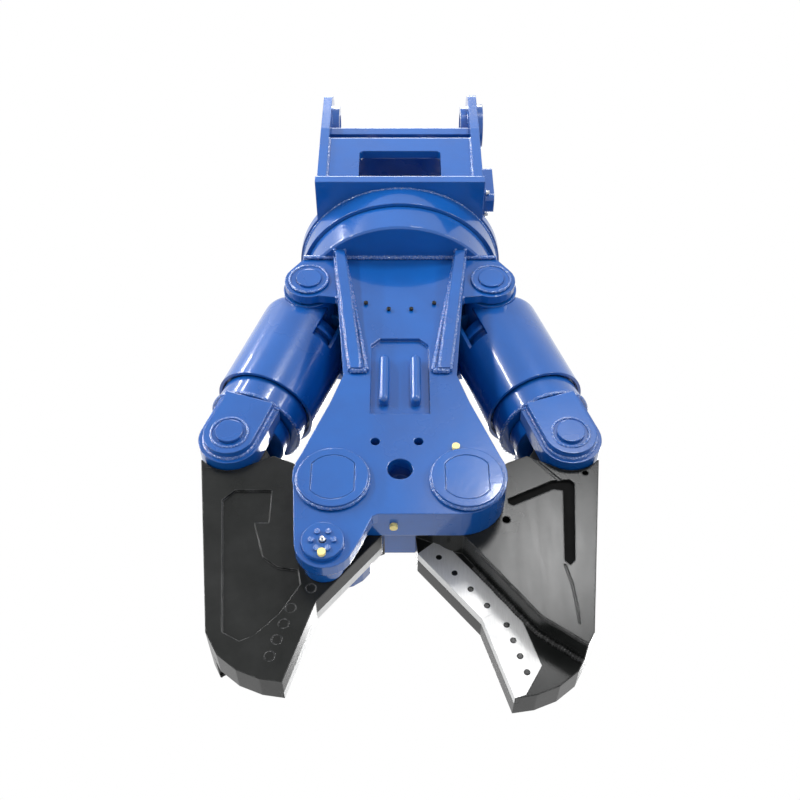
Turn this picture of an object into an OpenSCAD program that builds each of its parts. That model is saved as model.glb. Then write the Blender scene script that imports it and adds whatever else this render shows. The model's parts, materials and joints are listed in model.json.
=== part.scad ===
// Hydraulic shear for an excavator stick: two powered jaws under a slewing head.
// +Z is up, +X is right and +Y is away from the side with the adjustable guide puck.
// The origin is the centre of the stick pin bore, midway between the two ears.

/* [Bracket] */
// Diameter of the stick and link pins
pin_d = 80; // [60:1:100]
// Distance from the stick pin to the link pin
pin_spacing = 430; // [380:1:480]
// Height of the pin centres above the base plate
ear_height = 370; // [340:1:420]
// Gap between the two ear plates
ear_gap = 398; // [340:1:410]
// Thickness of each ear plate
ear_t = 25; // [16:1:32]
// Radius of the ear around each pin bore
ear_r = 92; // [80:1:104]
// Length of the base plate from front to back
base_l = 600; // [570:1:640]
// Thickness of the base plate
base_t = 25; // [16:1:32]
// Height of the front and rear cross plates
cross_h = 181; // [150:1:210]
// Thickness of the cross plates
cross_t = 25; // [16:1:30]
// Width of the window in each cross plate
window_w = 224; // [120:1:260]
// Height of the window in each cross plate
window_h = 120; // [60:1:130]

/* [Slewing head] */
// Outer diameter of the slew housing
housing_d = 560; // [540:1:600]
// Height of the slew housing
housing_h = 65; // [62:1:90]
// How far the rim of the housing stands out over the turntable
housing_lip = 10; // [4:1:14]
// Height of the turntable
table_h = 84; // [80:1:110]
// Running gap between the housing and the turntable
table_gap = 2; // [1:0.5:4]
// Wall and floor thickness of the housing and the turntable
drum_wall = 20; // [14:1:24]
// Teeth on the slew gear ring
ring_teeth = 56; // [50:1:58]
// Teeth on the slew pinion
pinion_teeth = 12; // [11:1:14]

/* [Frame] */
// Distance between the two main pins
main_spacing = 300; // [290:1:310]
// Drop from the turntable to the main pins
main_drop = 735; // [705:1:760]
// Diameter of the main pins
main_pin_d = 122; // [100:1:130]
// Outer diameter of the raised boss round each main pin
boss_d = 160; // [146:1:176]
// How far each boss stands out of its cheek
boss_h = 14; // [8:1:30]
// Thickness of each cheek plate
cheek_t = 85; // [60:1:95]
// Half width of the neck where it meets the turntable
neck_top_half = 176; // [160:1:180]
// Half width of the neck at its waist
neck_waist_half = 138; // [120:1:142]
// Radius of the cheek lobe round each main pin
lobe_r = 106; // [92:1:110]

/* [Cylinders] */
// Distance between the two top pins
top_spacing = 480; // [470:1:500]
// Drop from the turntable to the top pins
top_drop = 84; // [80:1:90]
// Diameter of the top pins
top_pin_d = 60; // [50:1:76]
// Diameter of the rod pins
rod_pin_d = 60; // [46:1:66]
// Bore of each cylinder
bore_d = 180; // [160:1:190]
// Outside diameter of each barrel
barrel_d = 216; // [210:1:220]
// Diameter of each rod
rod_d = 110; // [90:1:120]
// Outside diameter of each guard tube
guard_d = 258; // [254:1:264]
// Wall of each guard tube
guard_wall = 8; // [5:0.5:10]
// Gap between the gland and the fork when the cylinder is drawn in
gland_gap = 5; // [3:1:20]
// How far the gland stands out of the guard
gland_proud = 61; // [40:1:70]

/* [Jaws] */
// How far each rod pin lies outside its main pin
rod_pin_out = 255; // [250:1:262]
// How far each rod pin lies above its main pin
rod_pin_rise = 171; // [165:1:176]
// Depth of one jaw half, from the shear plane to its outer face
jaw_half_t = 75; // [60:1:75]
// Thickness of the cutting blades
blade_t = 26; // [18:1:32]
// Width of the upper blade
upper_blade_w = 66; // [52:1:70]
// Width of the lower blade
lower_blade_w = 82; // [70:1:86]
// Diameter of the blade bolts
blade_bolt_d = 14; // [10:1:18]

/* [Hidden] */

round_n = 96;         // sides of an ordinary round
arc_n = 10;           // steps of an arc in an outline
over = 2;             // how far a cut runs past a face
fit = 0.05;           // radial clearance of a running fit
seat = 0.3;           // gap between soft or turning faces that nearly touch
side_gap = 1;         // side clearance of a jaw between the cheeks

washer_h = 4;
washer_share = 1.15;
// Levels along Z
slew_y = 198;                                   // slewing axis behind the stick pin
base_top = -ear_height;
base_bot = base_top - base_t;
housing_bot = base_bot - housing_h;
table_top = housing_bot - table_gap;
table_bot = table_top - table_h;
main_z = table_bot - main_drop;
top_pin_z = table_bot - top_drop;
rod_pin_z = main_z + rod_pin_rise;

// Places along X and Y
main_x = main_spacing / 2;
top_pin_x = top_spacing / 2;
rod_pin_x = main_x + rod_pin_out;
jaw_gap_half = jaw_half_t + side_gap;           // from the mid-plane to the inner face of a cheek
cheek_out = jaw_gap_half + cheek_t;             // from the mid-plane to the outer face of a cheek
ear_in = ear_gap / 2;
ear_out = ear_in + ear_t;
base_front = -base_l / 2;
stick_y = -slew_y;                              // stick pin seen from the slewing axis
link_y = stick_y + pin_spacing;

// Helpers for outlines
function arc(cx, cz, r, a0, a1, n = arc_n) =
    [for (i = [0:n]) let (a = a0 + (a1 - a0) * i / n) [cx + r * cos(a), cz + r * sin(a)]];
function unit(v) = v / norm(v);
function mix(a, b, share) = a + (b - a) * share;

// Helpers for solids; every outline is drawn in X and Z and grows along Y
module slab(y0, y1) {
    translate([0, y1, 0]) rotate([90, 0, 0]) linear_extrude(y1 - y0) children();
}
module round_y(x, z, r, y0, y1) {
    translate([x, y0, z]) rotate([-90, 0, 0]) cylinder(r = r, h = y1 - y0, $fn = round_n);
}
module round_x(y, z, r, x0, x1) {
    translate([x0, y, z]) rotate([0, 90, 0]) cylinder(r = r, h = x1 - x0, $fn = round_n);
}
module tube_z(r_out, r_in, z0, z1) {
    difference() {
        translate([0, 0, z0]) cylinder(r = r_out, h = z1 - z0, $fn = round_n);
        translate([0, 0, z0 - over]) cylinder(r = r_in, h = z1 - z0 + 2 * over, $fn = round_n);
    }
}
module hex_bolt(d, shank, head_w, head_h) {
    translate([0, 0, -shank]) cylinder(d = d, h = shank, $fn = round_n);
    cylinder(d = head_w, h = head_h, $fn = 6);
    translate([0, 0, -washer_h]) cylinder(d = head_w * washer_share, h = washer_h, $fn = round_n);
}
module ring_of(count, r, first = 0) {
    for (i = [0:count - 1]) rotate([0, 0, first + 360 * i / count]) translate([r, 0, 0]) children();
}
module at_slew() {
    translate([0, slew_y, 0]) children();
}
module other_side() {
    rotate([0, 0, 180]) children();
}

// Bracket values
ear_front_rise = 218;                           // straight front edge of an ear above the base plate
ear_valley_r = 120;                             // hollow between the two pin lobes
ear_valley_z = 52;
ear_boss_r = 60;
ear_boss_t = 20;
collar_t = 20;
collar_r = 66;
base_half = 229;                                // half width of the base plate
base_rim = 6;                                   // round of the base plate beyond the housing
lock_r = 18;
window_r = 12;
bar_w = 30;
bar_l = 165;
bar_back = 28;                                  // cross bar behind the front edge
bar_drop = 102;                                 // cross bar below the stick pin

function ear_outline() = concat(
    [[base_front, base_top], [base_front, base_top + ear_front_rise]],
    arc(stick_y, 0, ear_r, 165, 50),
    arc((stick_y + link_y) / 2, ear_valley_z, ear_valley_r, 205, 335),
    arc(link_y, 0, ear_r, 130, 0),
    [[-base_front, base_top + ear_front_rise - ear_r], [-base_front, base_top]]);

module ear_plate(x0) {
    translate([x0, 0, 0]) rotate([90, 0, 90]) linear_extrude(ear_t) polygon(ear_outline());
}
module ear_bores(x0, x1) {
    for (y = [stick_y, link_y]) round_x(y, 0, pin_d / 2, x0 - over, x1 + over);
}
module left_ear() {
    color("royalblue") at_slew() difference() {
        union() {
            ear_plate(-ear_out);
            for (y = [stick_y, link_y]) round_x(y, 0, ear_boss_r, -ear_in - over, -ear_in + ear_boss_t);
        }
        ear_bores(-ear_out, -ear_in + ear_boss_t);
    }
}
module right_ear() {
    color("royalblue") at_slew() difference() {
        union() {
            ear_plate(ear_in);
            for (y = [stick_y, link_y]) {
                round_x(y, 0, ear_boss_r, ear_in - ear_boss_t, ear_in + over);
                round_x(y, 0, collar_r, ear_out - over, ear_out + collar_t);
            }
            translate([0, 0, -collar_r]) round_x(link_y, 0, lock_r, ear_out - over, ear_out + collar_t);
        }
        ear_bores(ear_in - ear_boss_t, ear_out + collar_t);
    }
}

motor_hole_r = 46;
stem_hole_r = 62;
module base_plate() {
    color("royalblue") at_slew() difference() {
        union() {
            translate([-base_half, base_front, base_bot]) cube([2 * base_half, base_l, base_t]);
            translate([0, 0, base_bot]) cylinder(r = housing_r + base_rim, h = base_t, $fn = round_n);
        }
        translate([0, 0, base_bot - over]) cylinder(r = stem_hole_r, h = base_t + 2 * over, $fn = round_n);
        translate([motor_x, motor_y, base_bot - over])
            cylinder(r = motor_hole_r, h = base_t + 2 * over, $fn = round_n);
        translate([0, 0, base_bot - over]) ring_of(housing_bolt_n, housing_bolt_ring, housing_bolt_first)
            cylinder(d = housing_bolt_d + 2 * fit, h = base_t + 2 * over, $fn = round_n);
    }
}

module cross_plate_outline() {
    difference() {
        translate([-ear_in, base_top]) square([2 * ear_in, cross_h]);
        translate([-window_w / 2, base_top - over]) square([window_w, window_h - window_r + over]);
        translate([-window_w / 2 + window_r, base_top]) square([window_w - 2 * window_r, window_h]);
        for (s = [-1, 1]) translate([s * (window_w / 2 - window_r), base_top + window_h - window_r])
            circle(r = window_r, $fn = round_n);
    }
}
cross_inset = 6;                                // cross plates behind the ends of the base plate
module front_cross_plate() {
    color("royalblue") at_slew()
        slab(base_front + cross_inset, base_front + cross_inset + cross_t) cross_plate_outline();
}
module rear_cross_plate() {
    color("royalblue") at_slew()
        slab(-base_front - cross_inset - cross_t, -base_front - cross_inset) cross_plate_outline();
}
module cross_bar() {
    color("royalblue") at_slew() {
        translate([-ear_in, base_front + bar_back + cross_inset, -bar_drop - bar_w])
            cube([2 * ear_in, bar_l, bar_w]);
    }
}

// Slewing head values
housing_r = housing_d / 2;
table_r = housing_r - housing_lip;
housing_bolt_n = 20;
housing_bolt_d = 20;
housing_bolt_first = 11;
housing_bolt_head = 30;
housing_bolt_head_h = 13;
ball_r = 9;
ball_n = 40;
race_fit = 0.1;
race_gap = 1.5;                                 // gap between the two bearing rings
ring_drop = 16;                                 // inner ring below the foot of the housing
pinion_room = 5.2;                              // room between the pinion and the wall of the drums
addendum_share = 0.8;
gear_reach = ring_teeth / 2 + pinion_teeth + addendum_share;
gear_module = (housing_r - housing_lip - drum_wall - pinion_room) / gear_reach;
ring_pitch_r = ring_teeth * gear_module / 2;
race_in = 22;
race_r = ring_pitch_r - race_in;                // ball circle of the slewing bearing
bolt_ring_in = 16;
housing_bolt_ring = race_r - bolt_ring_in;
inner_ring_wall = 34;
inner_ring_in = race_r - inner_ring_wall;
pinion_pitch_r = pinion_teeth * gear_module / 2;
mesh_slack = 0.4;
mesh_r = ring_pitch_r + pinion_pitch_r + mesh_slack;
motor_angle = 128;                              // bearing of the slew motor round the axis
motor_x = mesh_r * cos(motor_angle);
motor_y = mesh_r * sin(motor_angle);
drum_edge = 5;                                  // bevel on the outer edges of the drums

module slew_housing() {
    color("royalblue") at_slew() difference() {
        rotate_extrude($fn = round_n) polygon([
            [stem_hole_r, base_bot], [housing_r - drum_edge, base_bot], [housing_r, base_bot - drum_edge],
            [housing_r, housing_bot], [housing_r - drum_wall, housing_bot],
            [housing_r - drum_wall, base_bot - drum_wall], [stem_hole_r, base_bot - drum_wall]]);
        translate([motor_x, motor_y, base_bot - drum_wall - over])
            cylinder(r = motor_hole_r, h = drum_wall + 2 * over, $fn = round_n);
        translate([0, 0, base_bot - drum_wall - over]) ring_of(housing_bolt_n, housing_bolt_ring, housing_bolt_first)
            cylinder(d = housing_bolt_d + 2 * fit, h = drum_wall + 2 * over, $fn = round_n);
    }
}
housing_bolt_grip = 30;
bolt_end = base_bot - drum_wall - housing_bolt_grip;
ring_bolt_hole_depth = housing_bolt_grip + over;
module housing_bolts() {
    color("silver") at_slew() translate([0, 0, base_top + washer_h])
        ring_of(housing_bolt_n, housing_bolt_ring, housing_bolt_first)
            hex_bolt(housing_bolt_d, base_top + washer_h - bolt_end, housing_bolt_head, housing_bolt_head_h);
}
inner_ring_top = base_bot - drum_wall;
inner_ring_bot = housing_bot - ring_drop;
ball_drop = 2;
ball_z = housing_bot - ball_drop;
gear_rise = 16;
gear_top = housing_bot + gear_rise;
gear_bot = table_bot + drum_wall;
module bearing_inner_ring() {
    color("silver") at_slew() difference() {
        tube_z(race_r - race_gap / 2, inner_ring_in, inner_ring_bot, inner_ring_top);
        translate([0, 0, ball_z]) rotate_extrude($fn = round_n)
            translate([race_r, 0]) circle(r = ball_r + race_fit, $fn = round_n);
        translate([0, 0, inner_ring_top - ring_bolt_hole_depth])
            ring_of(housing_bolt_n, housing_bolt_ring, housing_bolt_first)
                cylinder(d = housing_bolt_d + 2 * fit, h = ring_bolt_hole_depth + over, $fn = round_n);
    }
}
module bearing_balls() {
    color("silver") at_slew() translate([0, 0, ball_z])
        ring_of(ball_n, race_r) sphere(r = ball_r, $fn = round_n);
}

// One tooth is a trapezium; its half widths are shares of the circular pitch
tooth_tip_share = 0.13;
tooth_root_share = 0.31;
dedendum_share = 1.15;
function tooth(pitch_r) = let (p = PI * gear_module, top = pitch_r + addendum_share * gear_module,
    foot = pitch_r - dedendum_share * gear_module)
    [[foot - over, -tooth_root_share * p], [foot, -tooth_root_share * p], [top, -tooth_tip_share * p],
     [top, tooth_tip_share * p], [foot, tooth_root_share * p], [foot - over, tooth_root_share * p]];
module gear_outline(teeth, first) {
    pitch_r = teeth * gear_module / 2;
    circle(r = pitch_r - dedendum_share * gear_module, $fn = round_n);
    for (i = [0:teeth - 1]) rotate(first + 360 * i / teeth) polygon(tooth(pitch_r));
}
gear_bolt_n = 18;
gear_bolt_d = 8;
gear_bolt_grip = 16;
gear_bolt_head = 14;
gear_bolt_head_h = 9;
ring_bolt_r = race_r + gear_bolt_d;
module gear_bolt_set(extra, past) {
    translate([0, 0, table_bot - past]) ring_of(gear_bolt_n, ring_bolt_r)
        cylinder(d = gear_bolt_head + 2 * extra, h = gear_bolt_head_h + past, $fn = round_n);
    translate([0, 0, table_bot]) ring_of(gear_bolt_n, ring_bolt_r)
        cylinder(d = gear_bolt_d + 2 * extra, h = drum_wall + gear_bolt_grip + past, $fn = round_n);
}
module slew_gear_ring() {
    color("silver") at_slew() difference() {
        translate([0, 0, gear_bot]) rotate([0, 0, motor_angle])
            linear_extrude(gear_top - gear_bot) gear_outline(ring_teeth, 0);
        translate([0, 0, gear_bot - over])
            cylinder(r = race_r + race_gap / 2, h = gear_top - gear_bot + 2 * over, $fn = round_n);
        gear_bolt_set(fit, over);
        translate([0, 0, ball_z]) rotate_extrude($fn = round_n)
            translate([race_r, 0]) circle(r = ball_r + race_fit, $fn = round_n);
    }
}
pinion_shaft_r = 16;
pinion_gap = 3;
pinion_top = gear_top - pinion_gap;
pinion_bot = gear_bot + pinion_gap;
module slew_pinion() {
    color("silver") at_slew() translate([motor_x, motor_y, 0]) {
        translate([0, 0, pinion_bot]) rotate([0, 0, motor_angle + 180])
            linear_extrude(pinion_top - pinion_bot) gear_outline(pinion_teeth, 180 / pinion_teeth);
        translate([0, 0, pinion_bot]) cylinder(r = pinion_shaft_r, h = pinion_shaft_len + pinion_top - pinion_bot,
            $fn = round_n);
    }
}
pinion_shaft_len = 70;
motor_r = 45;
motor_flange_r = 58;
motor_flange_h = 18;
motor_h = 150;
motor_cap_r = 36;
motor_cap_h = 16;
motor_port_r = 15;
motor_port_len = 26;
motor_neck_drop = base_t + drum_wall;
motor_port_rise_share = 0.62;
module slew_motor() {
    color("dimgray") at_slew() translate([motor_x, motor_y, base_top]) difference() {
        union() {
            cylinder(r = motor_flange_r, h = motor_flange_h, $fn = round_n);
            cylinder(r = motor_r, h = motor_h, $fn = round_n);
            translate([0, 0, motor_h - over]) cylinder(r = motor_cap_r, h = motor_cap_h + over, $fn = round_n);
            translate([0, 0, -motor_neck_drop]) cylinder(r = motor_hole_r - fit, h = motor_neck_drop + over,
                $fn = round_n);
            for (a = [motor_angle + 60, motor_angle - 60]) rotate([0, 0, a + 180])
                translate([0, 0, motor_h * motor_port_rise_share]) rotate([0, 90, 0])
                    cylinder(r = motor_port_r, h = motor_r + motor_port_len, $fn = round_n);
        }
        translate([0, 0, -motor_neck_drop - over])
            cylinder(r = pinion_shaft_r + fit, h = motor_neck_drop + motor_socket + over, $fn = round_n);
    }
}
motor_socket = 30;

// The rotary union passes oil through the slewing axis
stem_r = 42;
stem_flange_r = 80;
stem_flange_h = 16;
stem_top_h = 60;
stem_drop = 150;
stem_port_r = 14;
stem_port_n = 6;
module swivel_stem() {
    color("dimgray") at_slew() {
        translate([0, 0, base_top]) cylinder(r = stem_flange_r, h = stem_flange_h, $fn = round_n);
        translate([0, 0, base_top]) cylinder(r = stem_hole_r - over, h = stem_top_h, $fn = round_n);
        translate([0, 0, base_top - stem_drop]) cylinder(r = stem_r, h = stem_drop + over, $fn = round_n);
        translate([0, 0, base_top + stem_top_h / 2 + stem_flange_h / 2]) for (i = [0:stem_port_n - 1])
            rotate([0, 90, 360 * i / stem_port_n])
                cylinder(r = stem_port_r, h = stem_flange_r - over, $fn = round_n);
    }
}
sleeve_r = 72;
sleeve_flange_r = 112;
sleeve_clear = 10;
sleeve_drop = 70;
sleeve_bot = table_bot - sleeve_drop;
module swivel_sleeve() {
    color("dimgray") at_slew() difference() {
        union() {
            translate([0, 0, sleeve_bot]) cylinder(r = sleeve_r, h = gear_bot - sleeve_bot, $fn = round_n);
            translate([0, 0, gear_bot]) cylinder(r = sleeve_flange_r, h = stem_flange_h, $fn = round_n);
        }
        translate([0, 0, base_top - stem_drop - sleeve_clear])
            cylinder(r = stem_r + fit, h = stem_drop + sleeve_clear, $fn = round_n);
    }
}

// A rounded valve block on the right ear feeds the slew motor
block_y = -182;
block_l = 66;
block_t = 38;
block_bot = -352;
block_h = 142;
block_corner_r = 20;
block_flange = 14;
block_flange_h = 22;
block_bolt_d = 7;
block_bolt_head = 11;
block_bolt_head_h = 6;
block_bolt_inset = 7;
block_port_r = 12;
block_port_depth = 22;
block_port_share = 0.27;
module port_block() {
    color("royalblue") at_slew() difference() {
        union() {
            translate([ear_out, block_y, 0]) rotate([90, 0, 90]) linear_extrude(block_t) polygon(concat(
                arc(-block_l / 2 + block_corner_r, block_bot + block_corner_r, block_corner_r, 180, 270),
                arc(block_l / 2 - block_corner_r, block_bot + block_corner_r, block_corner_r, 270, 360),
                arc(block_l / 2 - block_corner_r, block_bot + block_h - block_corner_r, block_corner_r, 0, 90),
                arc(-block_l / 2 + block_corner_r, block_bot + block_h - block_corner_r, block_corner_r, 90, 180)));
            translate([ear_out, block_y - block_l / 2 - block_flange, block_bot])
                cube([block_flange, block_l + 2 * block_flange, block_flange_h]);
        }
        for (s = [-1, 1]) translate([ear_out + block_t - block_port_depth, block_y,
                block_bot + block_h / 2 + s * block_h * block_port_share]) rotate([0, 90, 0])
            cylinder(r = block_port_r, h = block_port_depth + over, $fn = round_n);
    }
}
module port_block_bolts() {
    color("silver") at_slew() for (s = [-1, 1])
        translate([ear_out + block_flange + washer_h, block_y + s * (block_l / 2 + block_bolt_inset),
                block_bot + block_flange_h / 2])
            rotate([0, 90, 0]) hex_bolt(block_bolt_d, washer_h, block_bolt_head, block_bolt_head_h);
}

// Turntable
table_hole_r = sleeve_r + fit;
module turntable() {
    color("royalblue") at_slew() difference() {
        rotate_extrude($fn = round_n) polygon([
            [table_hole_r, table_bot], [table_r - drum_edge, table_bot], [table_r, table_bot + drum_edge],
            [table_r, table_top], [table_r - drum_wall, table_top], [table_r - drum_wall, gear_bot],
            [table_hole_r, gear_bot]]);
        gear_bolt_set(fit, over);
    }
}
module gear_ring_bolts() {
    color("dimgray") at_slew() gear_bolt_set(0, 0);
}

// Frame values, measured from the main pins
lobe_top_angle = 30;
lobe_in = 14;                                   // centre of the cheek lobes inside the main pins
lobe_x = main_x - lobe_in;
lobe_up = 15;                                   // and above them
lobe_z = main_z + lobe_up;
puck_x = -165;
puck_drop = 166;                                // guide puck below the main pins
puck_lobe_r = 66;
puck_lobe_x = -161;
puck_lobe_drop = 161;
puck_lobe_t = 32;
puck_right_x = -84;
puck_r = 46;
puck_h = 12;
foot_left_x = -48;
waist_rise = 315;
shoulder_x = 165;
shoulder_rise = 230;
foot_step = 12;
arch_rise = 13;                                 // arch of the rear cheek above the main pins
arch_half = 60;
rear_lobe_r = 90;
neck_join = 6;

function neck_side() = [[neck_top_half, table_bot], [neck_waist_half, main_z + waist_rise],
    [shoulder_x, main_z + shoulder_rise]];
function front_outline() = concat(
    neck_side(),
    arc(lobe_x, lobe_z, lobe_r, lobe_top_angle, -90),
    arc(-lobe_x, lobe_z, lobe_r, 270, 180 - lobe_top_angle),
    [for (i = [2:-1:0]) [-neck_side()[i].x, neck_side()[i].y]]);
function puck_plate_outline() = concat(
    [[-lobe_x, lobe_z], [foot_left_x, lobe_z], [foot_left_x, lobe_z - lobe_r],
     [foot_left_x - foot_step, lobe_z - lobe_r - foot_step / 2], [puck_right_x, main_z - puck_drop + foot_step]],
    arc(puck_lobe_x, main_z - puck_lobe_drop, puck_lobe_r, -35, -175),
    arc(-lobe_x, lobe_z, lobe_r, 195, 185));
function rear_outline() = concat(
    neck_side(),
    arc(main_x, main_z, rear_lobe_r, lobe_top_angle, -150),
    [[arch_half, main_z + arch_rise], [-arch_half, main_z + arch_rise]],
    arc(-main_x, main_z, rear_lobe_r, -30, -180 - lobe_top_angle),
    [for (i = [2:-1:0]) [-neck_side()[i].x, neck_side()[i].y]]);

// Recess in the cheek and its two lugs
main_flat = 48;                                 // half width across the flats of a main pin
main_flat_h = 5;
key_gap = 1;
recess_half = 71;
recess_top_rise = 438;
recess_depth = 10;
recess_h = 245;
recess_corner = 22;
lug_x = 38;
lug_r = 13;
lug_top_rise = 374;
lug_len = 150;
lug_proud = 16;
center_hole_r = 29;
center_rise = 31;
center_depth = 60;
small_hole_r = 11;
small_hole_x = 50;
small_hole_left = 7;
small_hole_rise = 110;
small_hole_depth = 30;

module pin_bosses(y0, y1) {
    for (s = [-1, 1]) round_y(s * main_x, main_z, boss_d / 2, y0, y1);
}
module cheek_bores(y0, y1) {
    for (s = [-1, 1]) round_y(s * main_x, main_z, main_pin_d / 2 + fit, y0, y1 + over);
}
// Outline of the flatted front end of a main pin
module pin_key(s, extra) {
    intersection() {
        translate([s * main_x, main_z]) circle(r = main_pin_d / 2 + extra - key_gap, $fn = round_n);
        translate([s * main_x - main_flat - extra, main_z - main_pin_d])
            square([2 * (main_flat + extra), 2 * main_pin_d]);
    }
}
module recess() {
    slab(-cheek_out - over, -cheek_out + recess_depth) polygon([
        [-recess_half, main_z + recess_top_rise - recess_h],
        [recess_half, main_z + recess_top_rise - recess_h],
        [recess_half, main_z + recess_top_rise - recess_corner],
        [recess_half - recess_corner, main_z + recess_top_rise],
        [recess_corner - recess_half, main_z + recess_top_rise],
        [-recess_half, main_z + recess_top_rise - recess_corner]]);
}
module front_cheek() {
    color("royalblue") at_slew() difference() {
        union() {
            slab(-cheek_out, -jaw_gap_half) polygon(front_outline());
            slab(-cheek_out, -cheek_out + puck_lobe_t) polygon(puck_plate_outline());
            pin_bosses(-cheek_out - boss_h, -cheek_out + over);
        }
        cheek_bores(-cheek_out - boss_h + main_flat_h, -jaw_gap_half);
        for (s = [-1, 1]) slab(-cheek_out - boss_h - over, -cheek_out) pin_key(s, key_gap);
        recess();
        round_y(0, main_z + center_rise, center_hole_r, -cheek_out - over, -cheek_out + center_depth);
        for (s = [-1, 1]) round_y(s * small_hole_x - small_hole_left, main_z + small_hole_rise, small_hole_r,
            -cheek_out - over, -cheek_out + small_hole_depth);
        round_y(puck_x, main_z - puck_drop, puck_r + fit, -cheek_out - over, -jaw_gap_half + over);
    }
}
module rear_cheek() {
    color("royalblue") at_slew() difference() {
        union() {
            slab(jaw_gap_half, cheek_out) polygon(rear_outline());
            pin_bosses(cheek_out - over, cheek_out + boss_h);
        }
        cheek_bores(jaw_gap_half - over, cheek_out + boss_h);
        mirror([0, 1, 0]) recess();
    }
}
box_wall = 25;
box_half = 112;
box_bot_rise = 205;
module neck_box() {
    color("royalblue") at_slew() difference() {
        translate([-box_half, -jaw_gap_half, main_z + box_bot_rise])
            cube([2 * box_half, 2 * jaw_gap_half, table_bot - main_z - box_bot_rise]);
        translate([box_wall - box_half, -jaw_gap_half - over, main_z + box_bot_rise + box_wall])
            cube([2 * (box_half - box_wall), 2 * (jaw_gap_half + over), table_bot - main_z - box_bot_rise]);
    }
}

// Ribs between the turntable and each cheek
rib_top_out = 174;
rib_top_in = 148;
rib_bot_out = 122;
rib_bot_in = 80;
rib_bot_rise = 326;
rib_proud_top = 34;
rib_proud_bot = 16;
rib_t = 26;
foot_proud = 7;
module rib() {
    slab(-cheek_out - foot_proud, -cheek_out) polygon([[rib_top_in, table_bot], [rib_top_out, table_bot],
        [rib_bot_out, main_z + rib_bot_rise], [rib_bot_in, main_z + rib_bot_rise]]);
    difference() {
        slab(-cheek_out - rib_proud_top, -cheek_out) polygon([[rib_top_out - rib_t, table_bot],
            [rib_top_out, table_bot], [rib_bot_out, main_z + rib_bot_rise],
            [rib_bot_out - rib_t, main_z + rib_bot_rise]]);
        translate([0, -cheek_out - rib_proud_bot, main_z + rib_bot_rise]) rotate([rib_slope, 0, 0])
            translate([0, -2 * rib_proud_top, -rib_proud_top])
                cube([rib_top_out + over, 2 * rib_proud_top, 2 * (table_bot - main_z)]);
    }
}
rib_slope = atan2(rib_proud_top - rib_proud_bot, table_bot - main_z - rib_bot_rise);
module gusset_ribs() {
    color("royalblue") at_slew() for (a = [0, 1], b = [0, 1])
        mirror([a, 0, 0]) mirror([0, b, 0]) rib();
}
module lifting_lugs() {
    color("royalblue") at_slew() for (b = [0, 1]) mirror([0, b, 0]) for (s = [-1, 1])
        translate([s * lug_x, -cheek_out + recess_depth, main_z + lug_top_rise - lug_len]) {
            translate([-lug_r, -recess_depth - lug_proud + lug_r, lug_r])
                cube([2 * lug_r, recess_depth + lug_proud - lug_r, lug_len - 2 * lug_r]);
            translate([0, -recess_depth - lug_proud + lug_r, lug_r])
                cylinder(r = lug_r, h = lug_len - 2 * lug_r, $fn = round_n);
            for (z = [lug_r, lug_len - lug_r]) translate([0, -recess_depth - lug_proud + lug_r, z])
                rotate([-90, 0, 0]) cylinder(r = lug_r, h = recess_depth + lug_proud - lug_r, $fn = round_n);
            for (z = [lug_r, lug_len - lug_r])
                translate([0, -recess_depth - lug_proud + lug_r, z]) sphere(r = lug_r, $fn = round_n);
        }
}

// Ears that hold the top pins
cyl_ear_t = 25;
cyl_ear_r = 64;
cyl_ear_top = 2;
ear_ring_r = 50;
ear_ring_h = 5;
module cylinder_ear() {
    difference() {
        slab(-cheek_out, -cheek_out + cyl_ear_t) polygon(concat(
            [[neck_top_half - neck_join, table_bot], [top_pin_x + cyl_ear_r * 0.3, table_bot - cyl_ear_top]],
            arc(top_pin_x, top_pin_z, cyl_ear_r, 40, -115),
            [[neck_edge(top_pin_z - cyl_ear_r), top_pin_z - cyl_ear_r]]));
        translate([0, -over, 0]) slab(-cheek_out, -cheek_out + cyl_ear_t + 2 * over)
            polygon([[0, table_bot + over], [neck_edge(table_bot + over), table_bot + over],
                     [neck_edge(top_pin_z - 2 * cyl_ear_r), top_pin_z - 2 * cyl_ear_r],
                     [0, top_pin_z - 2 * cyl_ear_r]]);
        round_y(top_pin_x, top_pin_z, top_pin_d / 2 + fit, -cheek_out - over, -cheek_out + cyl_ear_t + over);
    }
    difference() {
        round_y(top_pin_x, top_pin_z, ear_ring_r, -cheek_out - ear_ring_h, -cheek_out + over);
        round_y(top_pin_x, top_pin_z, top_head_r + fit, -cheek_out - ear_ring_h - over, -cheek_out + 2 * over);
    }
}
function neck_edge(z) = mix(neck_waist_half, neck_top_half,
    (z - main_z - waist_rise) / (table_bot - main_z - waist_rise));
module cylinder_ears() {
    color("royalblue") at_slew() for (a = [0, 1], b = [0, 1])
        mirror([a, 0, 0]) mirror([0, b, 0]) cylinder_ear();
}

// Pins
pin_cap_h = 2;
module main_pin(s) {
    round_y(s * main_x, main_z, main_pin_d / 2, -cheek_out - boss_h + main_flat_h + seat,
        cheek_out + boss_h - pin_cap_h);
    slab(-cheek_out - boss_h + seat, -cheek_out) pin_key(s, 0);
}
top_head_r = 33;
top_head_h = 10;
module top_pin(s) {
    round_y(s * top_pin_x, top_pin_z, top_pin_d / 2, -cheek_out, cheek_out);
    for (b = [0, 1]) mirror([0, b, 0])
        round_y(s * top_pin_x, top_pin_z, top_head_r, -cheek_out - top_head_h, -cheek_out);
}
module left_main_pin() { color("royalblue") at_slew() main_pin(-1); }
module right_main_pin() { color("royalblue") at_slew() main_pin(1); }
module left_top_pin() { color("royalblue") at_slew() top_pin(-1); }
module right_top_pin() { color("royalblue") at_slew() top_pin(1); }

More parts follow.
